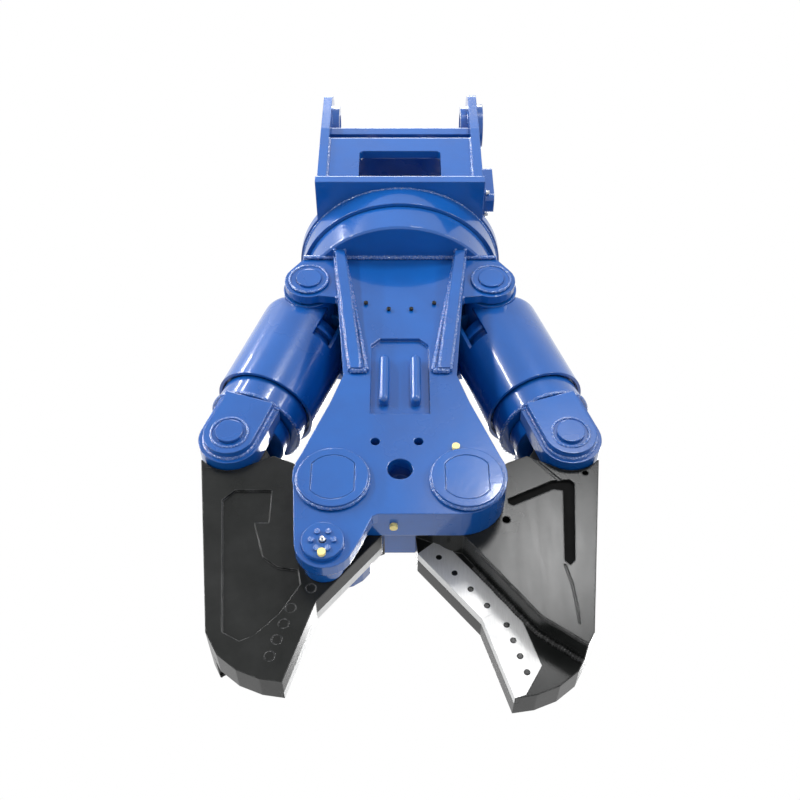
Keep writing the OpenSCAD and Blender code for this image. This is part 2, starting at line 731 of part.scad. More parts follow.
puck_bolt_n = 6;
puck_bolt_ring = 24;
puck_bolt_d = 8;
puck_bolt_head_h = 5;
puck_bolt_len = 12;
module guide_puck() {
    color("royalblue") at_slew() difference() {
        round_y(puck_x, main_z - puck_drop, puck_r, -cheek_out - puck_h, -jaw_gap_half - side_gap / 2);
        translate([puck_x, -cheek_out - puck_h + puck_bolt_len, main_z - puck_drop]) rotate([90, 0, 0])
            ring_of(puck_bolt_n, puck_bolt_ring)
                cylinder(d = puck_bolt_d + 2 * fit, h = puck_bolt_len + over, $fn = round_n);
        round_y(puck_x, main_z - puck_drop, puck_bolt_d, -cheek_out - puck_h - over, -cheek_out);
    }
}
module guide_puck_bolts() {
    color("dimgray") at_slew() translate([puck_x, -cheek_out - puck_h, main_z - puck_drop]) rotate([90, 0, 0])
        ring_of(puck_bolt_n, puck_bolt_ring) {
            translate([0, 0, -puck_bolt_len]) cylinder(d = puck_bolt_d, h = puck_bolt_len, $fn = round_n);
            cylinder(d = puck_bolt_d + puck_bolt_head_h, h = puck_bolt_head_h, $fn = round_n);
        }
}
cap_r = 9;
cap_h = 9;
cap_left = 22;                                  // cap beside the right main pin
puck_cap_drop = 33;
cap_foot_x = -14;
module grease_caps() {
    color("gold") at_slew() {
        round_y(main_x - cap_left, main_z + boss_d / 2 + cap_r + over, cap_r, -cheek_out - cap_h, -cheek_out - seat);
        round_y(puck_x, main_z - puck_drop - puck_cap_drop, cap_r, -cheek_out - puck_h - cap_h,
            -cheek_out - puck_h - seat);
        translate([cap_foot_x, -cheek_out + cheek_t / 2, lobe_z - lobe_r - seat - cap_h])
            cylinder(r = cap_r, h = cap_h, $fn = round_n);
    }
}

// Jaw values, drawn for the right jaw: out from its main pin, and up from it
hub_r = 90;
bush_t = 9;
blade_seat = 0.2;                               // each blade stands this far behind the shear plane
apex = [-109, -91];
knee = [30, -258];
tip = [89, -442];
outer_top = [333, 201];
outer_bot = [258, -330];
heel_a = [229, -381];
heel_b = [186, -415];
heel_c = [136, -435];
throat = [-114, -45];
lug_half_t = 50;
rod_lug_r = 70;
dip_r = 80;
shoulder = [152, 134];
shoulder_in = [104, 113];
dip_top = 122;                                  // where the outer edge meets the dip round the fork
step_in = [-7, -90];
step_mid = [150, -291];
step_out = [243, -357];
at_main = [main_x, main_z];
rod_at = [rod_pin_out, rod_pin_rise];

function jaw_points(points) = [for (p = points) p + at_main];
function outer_edge(z) = mix(outer_bot, outer_top, (z - outer_bot.y) / (outer_top.y - outer_bot.y));
function dip() = concat([outer_edge(dip_top)], arc(rod_at.x, rod_at.y, dip_r, -38, -123), [shoulder, shoulder_in]);
function jaw_outline() = jaw_points(concat([throat, apex, knee, tip, heel_c, heel_b, heel_a, outer_bot], dip()));
function back_outline() = jaw_points(concat([throat, step_in, step_mid, step_out, outer_bot], dip()));
function lug_outline() = jaw_points(concat([shoulder_in, [shoulder.x, 0], outer_edge(0)],
    arc(rod_at.x, rod_at.y, rod_lug_r, 5, 150), [shoulder]));

upper_dir = unit(knee - apex);
lower_dir = unit(tip - knee);
upper_out = [-upper_dir.y, upper_dir.x];
lower_out = [-lower_dir.y, lower_dir.x];
upper_len = norm(knee - apex);
lower_len = norm(tip - knee);
miter = unit(upper_out + lower_out);
tip_lean = 0.62;
function upper_blade_outline() = jaw_points([apex, knee, knee + miter * lower_blade_w * 0.8,
    knee + upper_out * upper_blade_w, apex + upper_out * upper_blade_w]);
function lower_blade_outline() = jaw_points([knee, tip, tip + lower_out * lower_blade_w * 0.3,
    tip + lower_out * lower_blade_w - lower_dir * lower_blade_w * tip_lean, knee + lower_out * lower_blade_w,
    knee + miter * lower_blade_w * 0.8]);
upper_bolt_n = 4;
lower_bolt_n = 4;
upper_bolt_first = 38;
upper_bolt_pitch = 54;
upper_bolt_in = 31;
lower_bolt_first = 30;
lower_bolt_pitch = 39;
lower_bolt_in = 46;
function upper_bolts() = [for (i = [0:upper_bolt_n - 1])
    at_main + apex + upper_dir * (upper_bolt_first + upper_bolt_pitch * i) + upper_out * upper_bolt_in];
function lower_bolts() = [for (i = [0:lower_bolt_n - 1])
    at_main + knee + lower_dir * (lower_bolt_first + lower_bolt_pitch * i) + lower_out * lower_bolt_in];
bolt_head_d = 22;
bolt_head_h = 8;
module blade_bolt_set(extra) {
    for (p = concat(upper_bolts(), lower_bolts())) {
        round_y(p.x, p.y, blade_bolt_d / 2 + extra, blade_seat, jaw_half_t - bolt_head_h + over);
        round_y(p.x, p.y, bolt_head_d / 2 + extra, jaw_half_t - bolt_head_h, jaw_half_t + extra);
    }
}
// Shallow pocket in the outer face of a jaw
pocket_d = 6;
pocket_corner = 18;
function pocket_outline() = jaw_points([[147, 34], [147, -56], [180, -56], [153, -146], [119, -172], [73, -179],
    [66, -215], [106, -285], [155, -336], [185, -350], [223, -329], [259, 7], [233, 34]]);
// Grooves and drilled holes in the other face of a jaw
groove_d = 8;
seam_d = 3;
function groove_outline() = jaw_points([[98, 10], [205, 62], [247, 65], [257, 53], [236, -155], [224, -167], [213, -155],
    [228, 33], [206, 37], [110, -9], [99, -3]]);
function seam_outlines() = [jaw_points([[158, 133], [163, 136], [230, 61], [224, 56]]),
    jaw_points([[210, -165], [215, -165], [226, -215], [231, -275], [231, -311], [227, -311], [226, -275],
        [221, -215]])];
lift_hole = [91, -48];
lift_hole_r = 9;
grease_hole = [285, 84];
grease_hole_r = 7;
grease_hole_d = 25;

module jaw_layers() {
    slab(blade_seat, jaw_half_t) polygon(jaw_outline());
    slab(-jaw_half_t, blade_seat + over) polygon(back_outline());
    round_y(main_x, main_z, hub_r, -jaw_half_t, jaw_half_t);
}
module jaw() {
    difference() {
        union() {
            jaw_layers();
            slab(-lug_half_t, lug_half_t) polygon(lug_outline());
        }
        round_y(main_x, main_z, main_pin_d / 2 + fit + bush_t + fit, -jaw_half_t - over, jaw_half_t + over);
        round_y(rod_pin_x, rod_pin_z, rod_pin_d / 2 + fit, -lug_half_t - over, lug_half_t + over);
        slab(-over, blade_t + blade_seat) polygon(upper_blade_outline());
        slab(-over, blade_t + blade_seat) polygon(lower_blade_outline());
        blade_bolt_set(fit);
        slab(jaw_half_t - pocket_d, jaw_half_t + over) polygon(pocket_outline());
        slab(-jaw_half_t - over, groove_d - jaw_half_t) polygon(groove_outline());
        for (points = seam_outlines()) slab(-jaw_half_t - over, seam_d - jaw_half_t) polygon(points);
        round_y(main_x + lift_hole.x, main_z + lift_hole.y, lift_hole_r, -jaw_half_t - over, grease_hole_d - jaw_half_t);
        round_y(main_x + grease_hole.x, main_z + grease_hole.y, grease_hole_r, -jaw_half_t - over,
            grease_hole_d - jaw_half_t);
    }
}
module blade(points, bolts) {
    difference() {
        slab(blade_seat, blade_t + blade_seat) polygon(points);
        for (p = bolts) round_y(p.x, p.y, blade_bolt_d / 2 + fit, -over, blade_t + blade_seat + over);
    }
}
module main_bush() {
    difference() {
        round_y(main_x, main_z, main_pin_d / 2 + fit + bush_t, -jaw_half_t, jaw_half_t);
        round_y(main_x, main_z, main_pin_d / 2 + fit, -jaw_half_t - over, jaw_half_t + over);
    }
}
rod_cap_r = 33;
rod_cap_h = 8;
fork_out = 118;                                 // half depth of the fork over its front pads
module rod_pin() {
    round_y(rod_pin_x, rod_pin_z, rod_pin_d / 2, -fork_out - rod_cap_h, fork_out + rod_cap_h);
    for (b = [0, 1]) mirror([0, b, 0])
        round_y(rod_pin_x, rod_pin_z, rod_cap_r, -fork_out - seat - rod_cap_h, -fork_out - seat);
}
module right_jaw() { color("dimgray") at_slew() jaw(); }
module left_jaw() { color("dimgray") at_slew() other_side() jaw(); }
module right_upper_blade() { color("gainsboro") at_slew() blade(upper_blade_outline(), upper_bolts()); }
module left_upper_blade() {
    color("gainsboro") at_slew() other_side() blade(upper_blade_outline(), upper_bolts());
}
module right_lower_blade() { color("gainsboro") at_slew() blade(lower_blade_outline(), lower_bolts()); }
module left_lower_blade() {
    color("gainsboro") at_slew() other_side() blade(lower_blade_outline(), lower_bolts());
}
module right_blade_bolts() { color("dimgray") at_slew() blade_bolt_set(0); }
module left_blade_bolts() { color("dimgray") at_slew() other_side() blade_bolt_set(0); }
module right_rod_pin() { color("royalblue") at_slew() rod_pin(); }
module left_rod_pin() { color("royalblue") at_slew() other_side() rod_pin(); }
module right_main_bush() { color("goldenrod") at_slew() main_bush(); }
module left_main_bush() { color("goldenrod") at_slew() other_side() main_bush(); }

// Cylinder values, measured along the axis from the top pin towards the rod pin
rod_pin_dist = norm([rod_pin_x - top_pin_x, top_pin_z - rod_pin_z]);
lean = atan2(rod_pin_x - top_pin_x, top_pin_z - rod_pin_z);
open_slack = 17;                                // room round the top pin, where the linkage is opened
eye_r = 69;
eye_gap = 6;
eye_half_t = cheek_out - cyl_ear_t - eye_gap;
guard_start = 12;
guard_round = 34;
barrel_start = 60;
barrel_floor = 14;
gland_len = 62;
gland_less = 10;                                // the gland is this much thinner than the inside of the guard
gland_d = guard_d - 2 * guard_wall - gland_less;
gland_fit = 0.1;
piston_len = 40;
piston_clear = 4;
cavity_start = barrel_start + barrel_floor;
crown_start = 76;                               // crown of the fork, measured back from the rod pin
crown_end = 118;
crown_r = 96;
fork_r = 76;
pad_r = 62;
pad_h = 20;
fork_in = lug_half_t + side_gap;
fork_body = fork_out - pad_h;
gland_end = rod_pin_dist - crown_end - gland_gap;
guard_end = gland_end - gland_proud;
barrel_foot = gland_end - gland_len;
band_h = 10;
cheek_pocket_x = 62;                            // the guard is cut away beside the cheeks
cheek_pocket_y = jaw_gap_half - eye_gap;
cheek_pocket_end = 135;
band_places_share = [0.32, 0.94];

// Puts a shape drawn along -Z from the origin on the line from the top pin to the rod pin
module on_axis() {
    translate([top_pin_x, 0, top_pin_z]) rotate([0, -lean, 0]) mirror([0, 0, 1]) children();
}
module barrel() {
    on_axis() difference() {
        union() {
            tube_z(barrel_d / 2, bore_d / 2, barrel_start, barrel_foot);
            translate([0, 0, barrel_start]) cylinder(d = barrel_d, h = barrel_floor, $fn = round_n);
            round_y(0, 0, eye_r, -eye_half_t, eye_half_t);
            for (share = band_places_share) translate([0, 0, guard_end * share - band_h])
                tube_z(guard_d / 2 - guard_wall - fit, barrel_d / 2 - over, 0, band_h);
        }
        round_y(0, 0, top_pin_d / 2 + open_slack, -eye_half_t - over, eye_half_t + over);
        translate([0, 0, cavity_start]) cylinder(d = bore_d, h = barrel_foot, $fn = round_n);
    }
}
module guard() {
    on_axis() difference() {
        rotate_extrude($fn = round_n) polygon(concat(
            [[0, guard_start]],
            arc(guard_d / 2 - guard_round, guard_start + guard_round, guard_round, -90, 0),
            [[guard_d / 2, guard_end], [guard_d / 2 - guard_wall, guard_end]],
            arc(guard_d / 2 - guard_round, guard_start + guard_round, guard_round - guard_wall, 0, -90),
            [[0, guard_start + guard_wall]]));
        round_y(0, 0, eye_r + seat, -guard_d, guard_d);
        for (b = [0, 1]) mirror([0, b, 0]) translate([-guard_d, cheek_pocket_y, 0])
            cube([guard_d - cheek_pocket_x, guard_d, cheek_pocket_end]);
    }
}
module gland() {
    on_axis() difference() {
        tube_z(gland_d / 2, rod_d / 2 + gland_fit, barrel_foot, gland_end);
    }
}
module rod() {
    on_axis() translate([0, 0, cavity_start + piston_clear]) cylinder(d = rod_d,
        h = rod_pin_dist - crown_end - cavity_start - piston_clear, $fn = round_n);
}
module piston() {
    on_axis() tube_z(bore_d / 2 - gland_fit, rod_d / 2, cavity_start + piston_clear,
        cavity_start + piston_clear + piston_len);
}
module rod_fork() {
    on_axis() difference() {
        union() {
            translate([0, 0, rod_pin_dist - crown_end]) cylinder(r = crown_r, h = crown_end - crown_start,
                $fn = round_n);
            for (b = [0, 1]) mirror([0, b, 0]) {
                fork_lug(fork_r, fork_in, fork_body);
                fork_lug(pad_r, fork_body - over, fork_out);
            }
        }
        round_y(0, rod_pin_dist, rod_pin_d / 2 + fit, -fork_out - over, fork_out + over);
    }
}
module fork_lug(r, y0, y1) {
    translate([-r, y0, rod_pin_dist - crown_end]) cube([2 * r, y1 - y0, crown_end]);
    round_y(0, rod_pin_dist, r, y0, y1);
}
module right_rod() { color("silver") at_slew() rod(); }
module left_rod() { color("silver") at_slew() other_side() rod(); }
module right_rod_fork() { color("royalblue") at_slew() rod_fork(); }
module left_rod_fork() { color("royalblue") at_slew() other_side() rod_fork(); }
module right_piston() { color("silver") at_slew() piston(); }
module left_piston() { color("silver") at_slew() other_side() piston(); }
module right_barrel() { color("royalblue") at_slew() barrel(); }
module left_barrel() { color("royalblue") at_slew() other_side() barrel(); }
module right_gland() { color("royalblue") at_slew() gland(); }
module left_gland() { color("royalblue") at_slew() other_side() gland(); }
module right_guard() { color("royalblue") at_slew() guard(); }
module left_guard() { color("royalblue") at_slew() other_side() guard(); }

left_ear();
right_ear();
base_plate();
front_cross_plate();
rear_cross_plate();
cross_bar();
slew_housing();
housing_bolts();
bearing_inner_ring();
bearing_balls();
slew_motor();
swivel_stem();
port_block();
port_block_bolts();
slew_pinion();
turntable();
slew_gear_ring();
gear_ring_bolts();
front_cheek();
rear_cheek();
neck_box();
gusset_ribs();
lifting_lugs();
cylinder_ears();
left_main_pin();
right_main_pin();
left_top_pin();
right_top_pin();
guide_puck();
guide_puck_bolts();
grease_caps();
swivel_sleeve();
left_jaw();
left_upper_blade();
left_lower_blade();
left_blade_bolts();
left_rod_pin();
left_main_bush();
right_jaw();
right_upper_blade();
right_lower_blade();
right_blade_bolts();
right_rod_pin();
right_main_bush();
left_rod();
left_rod_fork();
left_piston();
right_rod();
right_rod_fork();
right_piston();
left_barrel();
left_gland();
left_guard();
right_barrel();
right_gland();
right_guard();
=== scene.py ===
"""Looks of a hydraulic shear that hangs from an excavator stick.

Paint, ground steel, welds and small fittings. The slewing axis stands at x = 0, y = SLEW_Y, and +Z is up.
Names that end in _MM, and points given to at(), are millimetres. All other lengths are metres.
"""

import json
import math
import random

import bmesh
import bpy
from bpy.props import FloatProperty, FloatVectorProperty, IntProperty, PointerProperty
from mathutils import Matrix, Vector


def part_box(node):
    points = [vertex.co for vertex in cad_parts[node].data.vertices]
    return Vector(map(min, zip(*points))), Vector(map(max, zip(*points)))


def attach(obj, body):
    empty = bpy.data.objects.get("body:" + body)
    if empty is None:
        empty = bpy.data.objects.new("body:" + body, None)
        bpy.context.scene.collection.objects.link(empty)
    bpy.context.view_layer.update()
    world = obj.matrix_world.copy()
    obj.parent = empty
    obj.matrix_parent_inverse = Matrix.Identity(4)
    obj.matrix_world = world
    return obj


bl_info = {
    "name": "Hydraulic Shear Looks",
    "version": (1, 0, 0),
    "blender": (4, 5, 0),
    "location": "View3D > Sidebar > Shear",
    "description": "Dresses the packed shear with paint, welds, fittings and a studio",
    "category": "Object",
}

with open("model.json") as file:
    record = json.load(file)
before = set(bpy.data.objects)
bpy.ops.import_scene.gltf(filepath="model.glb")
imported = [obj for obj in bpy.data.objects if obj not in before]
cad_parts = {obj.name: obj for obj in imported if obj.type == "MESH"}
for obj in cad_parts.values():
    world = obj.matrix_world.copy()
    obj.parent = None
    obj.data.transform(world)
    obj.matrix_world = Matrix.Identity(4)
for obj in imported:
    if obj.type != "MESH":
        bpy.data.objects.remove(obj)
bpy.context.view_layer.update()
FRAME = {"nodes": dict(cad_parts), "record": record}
NODES = FRAME["nodes"]
SLEW_Y = 0.198
# Millimetres in a metre
MM = 1000

# Levels and places that the frame gives
BASE_LOW, BASE_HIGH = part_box("base_plate")
CROSS_LOW, CROSS_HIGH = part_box("front_cross_plate")
MAIN_PIN_LOW, MAIN_PIN_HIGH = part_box("right_main_pin")
MAIN_X_MM = (MAIN_PIN_LOW.x + MAIN_PIN_HIGH.x) / 2 * MM
MAIN_Z_MM = (MAIN_PIN_LOW.z + MAIN_PIN_HIGH.z) / 2 * MM
TOP_PIN_LOW, TOP_PIN_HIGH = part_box("right_top_pin")
TOP_PIN_Z_MM = (TOP_PIN_LOW.z + TOP_PIN_HIGH.z) * MM / 2
# Front face of the cheeks' plates, measured out from the shear plane
PLATE_MM = -(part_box("cylinder_ears")[0].y - SLEW_Y) * MM
TABLE_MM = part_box("turntable")[0].z * MM
DECK_MM = BASE_HIGH.z * MM
BASE_FOOT_MM = BASE_LOW.z * MM

# Bracket: thickness of an ear, how far the housing's bead lies inside its rim, half the window's width
EAR_T_MM = 25
RIM_INSET = 0.005
WINDOW_MM = 112
# Frame: half the neck's width, the cheeks' inner faces, the reach and thickness of the cylinder ears
NECK_MM = 176
CHEEK_IN_MM = 76
TOP_PIN_X_MM = 240
EAR_REACH_MM = 259
CYL_EAR_T_MM = 25
# Frame: edges of a gusset rib at its top and foot, and how far its foot strip stands proud
RIB_TOP_IN_MM, RIB_TOP_OUT_MM = 148, 174
RIB_LOW_IN_MM, RIB_LOW_MID_MM, RIB_LOW_OUT_MM = 80, 96, 122
STRIP_MM = 7
RIB_DEEP_MM = 32
# Frame: where the rear edge of a cylinder ear meets the neck
EAR_HEEL_X_MM, EAR_HEEL_Z_MM = 162.6, -694
# Beads round the main pin bosses and the cylinder ears' rings
BOSS_BEAD_MM = 80.5
RING_BEAD_MM = 50.5
# Rod forks: radius of the pads and of the fork, level of the pads' feet and faces, ring round the pin's cap,
# top of the crown, and how far the gland's bead lies above it
PAD_R_MM = 62.5
PAD_FOOT_MM = 98
PAD_FACE_MM = 118
FORK_R_MM = 76
CAP_RING_MM = 44
CROWN_TOP_MM = 118
GLAND_RISE_MM = 9
# Step and groove of a jaw, measured from its main pin
JAW_FACE_MM = 75
GROOVE_FLOOR_MM = 67
# Thickness of the near black sheet of painted shade on each groove's floor
GROOVE_SHADE_MM = 0.9
STEP_LINE = [(20, -124.6), (150, -291), (243, -357)]
GROOVE_LINE = [
    (98, 10), (205, 62), (247, 65), (257, 53), (236, -155), (224, -167), (213, -155), (228, 33), (206, 37),
    (110, -9), (99, -3),
]
# Drive screws in the corners of the bare plate's place
SCREW_SPOTS = ((-88, -720), (-29, -742), (29, -742), (88, -720))
SCREW_PROFILE = [
    (0.0055, -0.002), (0.0055, 0.0022), (0.0045, 0.0034), (0.002, 0.0034), (0.0016, 0.0026), (0, 0.0026),
]
# Grease nipple: share of its radius, and height above its seat
NIPPLE_PROFILE = [
    (1.0, -0.001), (1.0, 0.004), (0.9, 0.005), (0.5, 0.0055), (0.42, 0.0085), (0.62, 0.0105), (0.55, 0.0128),
    (0, 0.0138),
]

# Soft boxes: name, place, aim, width, height and watts
KEY_AIM, LEFT_AIM = (0.2, 0.0, -0.9), (-0.2, 0.0, -0.9)
SOFT_BOXES = [
    ("key_softbox", (0.82, -2.85, 0.42), KEY_AIM, 0.6, 0.66, 42.0),
    ("top_softbox", (-0.3, 0.0, 3.0), (0.0, 0.1, -0.6), 2.6, 1.4, 95.0),
    ("left_strip", (-2.6, -2.2, 0.5), LEFT_AIM, 0.14, 3.4, 84.0),
    ("left_strip_rear", (-3.0, -0.9, 0.5), LEFT_AIM, 0.12, 3.4, 80.0),
    ("right_softbox", (2.7, -2.0, -0.6), KEY_AIM, 0.7, 1.8, 45.0),
    ("back_softbox", (0.6, 3.4, 0.6), (0.0, 0.3, -0.8), 2.2, 1.8, 90.0),
]
SKY = (0.62, 0.65, 0.7, 1.0)
SKY_STRENGTH = 0.48
WHITE = (1, 1, 1, 1)
FLOOR_Z = -3.1
FLOOR_HALF = 7.0
FLOOR_CELLS = 8
# The camera stands low in front and looks up
CAMERA_PLACE = (0.0, -1.864, -2.669)
CAMERA_AIM = (0.0, 0.7604, 0.6494)
CAMERA_LENS = 47.25
CAMERA_SENSOR = 36.0


def linear(hex_code):
    """Turns an sRGB hex colour into linear red, green and blue."""
    values = [int(hex_code[i : i + 2], 16) / 255 for i in (1, 3, 5)]
    return tuple(v / 12.92 if v <= 0.04045 else ((v + 0.055) / 1.055) ** 2.4 for v in values)


def length_prop(name, words, default):
    return FloatProperty(name=name, description=words, default=default, min=0, unit="LENGTH", precision=4)


def colour_prop(name, words, hex_code):
    colour = linear(hex_code)
    return FloatVectorProperty(name=name, description=words, default=colour, subtype="COLOR", min=0, max=1)


class ShearSizes(bpy.types.PropertyGroup):
    """Sizes of the pieces that are added to the frame."""

    weld_leg: length_prop("Weld leg", "Radius of a fillet weld bead", 0.0062)
    weld_pitch: length_prop("Weld ripple", "Distance between two weld ripples, coarse enough to show", 0.007)
    nipple_r: length_prop("Nipple radius", "Radius of a grease nipple's hexagon", 0.0062)
    weld_seed: IntProperty(name="Weld seed", description="Seed of the unevenness of the welds", default=7)


class ShearColours(bpy.types.PropertyGroup):
    """Colours of the finishes."""

    enamel: colour_prop("Blue enamel", "Colour of the blue machine enamel", "#0C58A8")
    enamel_deep: colour_prop("Blue enamel, thick", "Colour of the enamel where it lies thicker", "#094C96")
    black: colour_prop("Black paint", "Colour of the satin black jaw paint", "#101211")
    steel: colour_prop("Ground steel", "Colour of the ground blades", "#E9E9E8")
    chrome: colour_prop("Hard chrome", "Colour of the plated rods", "#E2E4E6")
    zinc: colour_prop("Zinc", "Colour of zinc plated fasteners", "#C9CBCC")
    bronze: colour_prop("Bronze", "Colour of the bearing bushes", "#B5803C")
    cap: colour_prop("Yellow plastic", "Colour of the grease caps", "#F8E27C")


def sizes():
    return bpy.context.scene.shear_sizes


def colours():
    return bpy.context.scene.shear_colours


def full(colour):
    """A colour property as a shader's red, green, blue and alpha."""
    return (*colour, 1.0)


def mixed(colour, other, share):
    """A colour part of the way from one to another, as a shader's value."""
    return (*[a + (b - a) * share for a, b in zip(colour, other)], 1.0)


# Materials


def add(tree, kind, settings=None, values=None, links=None):
    """Adds a shader node with its settings, socket values and links into it."""
    item = tree.nodes.new(kind)
    for key, value in (settings or {}).items():
        setattr(item, key, value)
    for key, value in (values or {}).items():
        item.inputs[key].default_value = value
    for key, source in (links or {}).items():
        tree.links.new(source, item.inputs[key])
    return item


def blended(tree, share, first, second):
    """A mix of two colours by a share."""
    item = add(tree, "ShaderNodeMix", {"data_type": "RGBA"}, links={0: share})
    item.inputs[6].default_value = first
    item.inputs[7].default_value = second
    return item


def ramp(tree, source, stops):
    """A colour ramp over a source, with (place, grey or colour) stops."""
    item = add(tree, "ShaderNodeValToRGB", links={"Fac": source})
    while len(item.color_ramp.elements) < len(stops):
        item.color_ramp.elements.new(0.5)
    for element, (place, value) in zip(item.color_ramp.elements, stops):
        element.position = place
        element.color = value if isinstance(value, tuple) else (value, value, value, 1.0)
    return item.outputs["Color"]


def blank(name):
    """A new node material and its principled shader."""
    material = bpy.data.materials.new(name)
    material.use_nodes = True
    return material, material.node_tree, material.node_tree.nodes["Principled BSDF"]


def tune(shader, values):
    """Sets plain values of a shader's inputs."""
    for key, value in values.items():
        shader.inputs[key].default_value = value


def seen_rays(tree):
    """1 for the rays that look at the background: straight, mirrored or through glass."""
    path = add(tree, "ShaderNodeLightPath")
    first = add(tree, "ShaderNodeMath", {"operation": "MAXIMUM"},
                links={0: path.outputs["Is Camera Ray"], 1: path.outputs["Is Transmission Ray"]})
    return add(tree, "ShaderNodeMath", {"operation": "MAXIMUM"},
               links={0: first.outputs[0], 1: path.outputs["Is Glossy Ray"]}).outputs[0]


def mix_rays(tree, lit, seen, output):
    """Sends one shader to the rays that light the shear and another to the rays that look past it."""
    blend = add(tree, "ShaderNodeMixShader",
                links={0: seen_rays(tree), 1: lit.outputs[0], 2: seen.outputs[0]})
    tree.links.new(blend.outputs[0], tree.nodes[output].inputs["Surface"])


def noise(tree, place, scale, detail=3.0, rough=0.5):
    """Noise over a place; scale is in features per metre."""
    return add(tree, "ShaderNodeTexNoise", values={"Scale": scale, "Detail": detail, "Roughness": rough},
               links={"Vector": place}).outputs["Fac"]


def soft_edge(tree, radius):
    """The normal of an edge rounded by a radius, as flame cut and painted plate has."""
    return add(tree, "ShaderNodeBevel", {"samples": 6}, {"Radius": radius}).outputs["Normal"]


def edge_mask(tree, rounded, low, high):
    """White where a rounded edge turns away from the flat face."""
    flat = add(tree, "ShaderNodeNewGeometry").outputs["Normal"]
    dot = add(tree, "ShaderNodeVectorMath", {"operation": "DOT_PRODUCT"}, links={0: rounded, 1: flat})
    return ramp(tree, dot.outputs["Value"], [(low, 1.0), (high, 0.0)])


def blue_enamel(name="blue_enamel_sprayed", peel=0.0006):
    """Two pack machine enamel, sprayed: deep gloss with a slight orange peel and thicker runs of colour."""
    material, tree, shader = blank(name)
    place = add(tree, "ShaderNodeTexCoord").outputs["Object"]
    cloud = noise(tree, place, 5.0, 4.0, 0.55)
    shade = blended(tree, ramp(tree, cloud, [(0.35, 0.0), (0.7, 1.0)]), full(colours().enamel),
                    full(colours().enamel_deep))
    tree.links.new(shade.outputs[2], shader.inputs["Base Color"])
    # Road film leaves the gloss a little uneven over hand sized patches
    tree.links.new(ramp(tree, cloud, [(0.3, 0.2), (0.7, 0.3)]), shader.inputs["Roughness"])
    # Orange peel is 2 mm in life; it is drawn at 9 mm so that it shows at this distance
    waves = noise(tree, place, 110.0, 2.0)
    dents = noise(tree, place, 9.0, 2.0)
    height = add(tree, "ShaderNodeMath", {"operation": "MULTIPLY_ADD"}, {1: 0.22, 2: 0.0}, {0: waves})
    total = add(tree, "ShaderNodeMath", {"operation": "ADD"}, links={0: height.outputs[0], 1: dents})
    rounded = soft_edge(tree, 0.0035)
    bump = add(tree, "ShaderNodeBump", values={"Strength": 0.4, "Distance": peel * 3},
               links={"Height": total.outputs[0], "Normal": rounded})
    tree.links.new(bump.outputs["Normal"], shader.inputs["Normal"])
    coat = add(tree, "ShaderNodeBump", values={"Strength": 0.22, "Distance": peel * 2.5},
               links={"Height": total.outputs[0], "Normal": rounded})
    tree.links.new(coat.outputs["Normal"], shader.inputs["Coat Normal"])
    tune(shader, {"Specular IOR Level": 0.35, "Coat Weight": 0.7, "Coat Roughness": 0.06, "Coat IOR": 1.5})
    return material


def weld_enamel():
    """The same enamel over weld beads: the ripples catch small bright points, and lighter specks of colour
    are painted in as glints on them.
    """
    material, tree, shader = blank("blue_enamel_over_weld")
    place = add(tree, "ShaderNodeTexCoord").outputs["Object"]
    speck = noise(tree, place, 150.0, 3.0)
    # Painted highlight: specks of the noise take an enamel mixed with white, as glints on the ripples
    shade = blended(tree, ramp(tree, speck, [(0.4, 0.0), (0.75, 1.0)]), full(colours().enamel),
                    mixed(colours().enamel, (1, 1, 1), 0.12))
    tree.links.new(shade.outputs[2], shader.inputs["Base Color"])
    tree.links.new(ramp(tree, speck, [(0.3, 0.2), (0.8, 0.34)]), shader.inputs["Roughness"])
    bump = add(tree, "ShaderNodeBump", values={"Strength": 0.8, "Distance": 0.004}, links={"Height": speck})
    tree.links.new(bump.outputs["Normal"], shader.inputs["Normal"])
    tree.links.new(bump.outputs["Normal"], shader.inputs["Coat Normal"])
    tune(shader, {"Coat Weight": 0.9, "Coat Roughness": 0.06})
    return material


def black_satin(name="black_jaw_paint_rolled", colour=None):
    """Satin black paint on flame cut plate: soft long highlights, faint brush streaks, greyer edges."""
    material, tree, shader = blank(name)
    base = colour or colours().black
    place = add(tree, "ShaderNodeTexCoord").outputs["Object"]
    stretched = add(tree, "ShaderNodeMapping", values={"Scale": (1.0, 1.0, 0.16)}, links={"Vector": place})
    streak = noise(tree, stretched.outputs["Vector"], 60.0, 4.0, 0.6)
    cloud = noise(tree, place, 7.0, 4.0, 0.6)
    rounded = soft_edge(tree, 0.004)
    worn = edge_mask(tree, rounded, 0.93, 0.995)
    patch = add(tree, "ShaderNodeMath", {"operation": "MULTIPLY"},
                links={0: worn, 1: ramp(tree, streak, [(0.35, 0.0), (0.65, 0.55)])})
    body = blended(tree, ramp(tree, cloud, [(0.35, 0.0), (0.72, 1.0)]), full(base),
                   mixed(base, (1, 1, 1), 0.012))
    shade = add(tree, "ShaderNodeMix", {"data_type": "RGBA"}, links={0: patch.outputs[0], 6: body.outputs[2]})
    shade.inputs[7].default_value = mixed(base, (0.5, 0.5, 0.5), 0.3)
    tree.links.new(shade.outputs[2], shader.inputs["Base Color"])
    tree.links.new(ramp(tree, streak, [(0.3, 0.23), (0.72, 0.27)]), shader.inputs["Roughness"])
    # Mill scale under the paint gives hand sized, very flat waves
    height = add(tree, "ShaderNodeMath", {"operation": "MULTIPLY_ADD"}, {1: 0.25}, {0: streak, 2: cloud})
    bump = add(tree, "ShaderNodeBump", values={"Strength": 0.15, "Distance": 0.0006},
               links={"Height": height.outputs[0], "Normal": rounded})
    tree.links.new(bump.outputs["Normal"], shader.inputs["Normal"])
    shader.inputs["Specular IOR Level"].default_value = 0.24
    return material


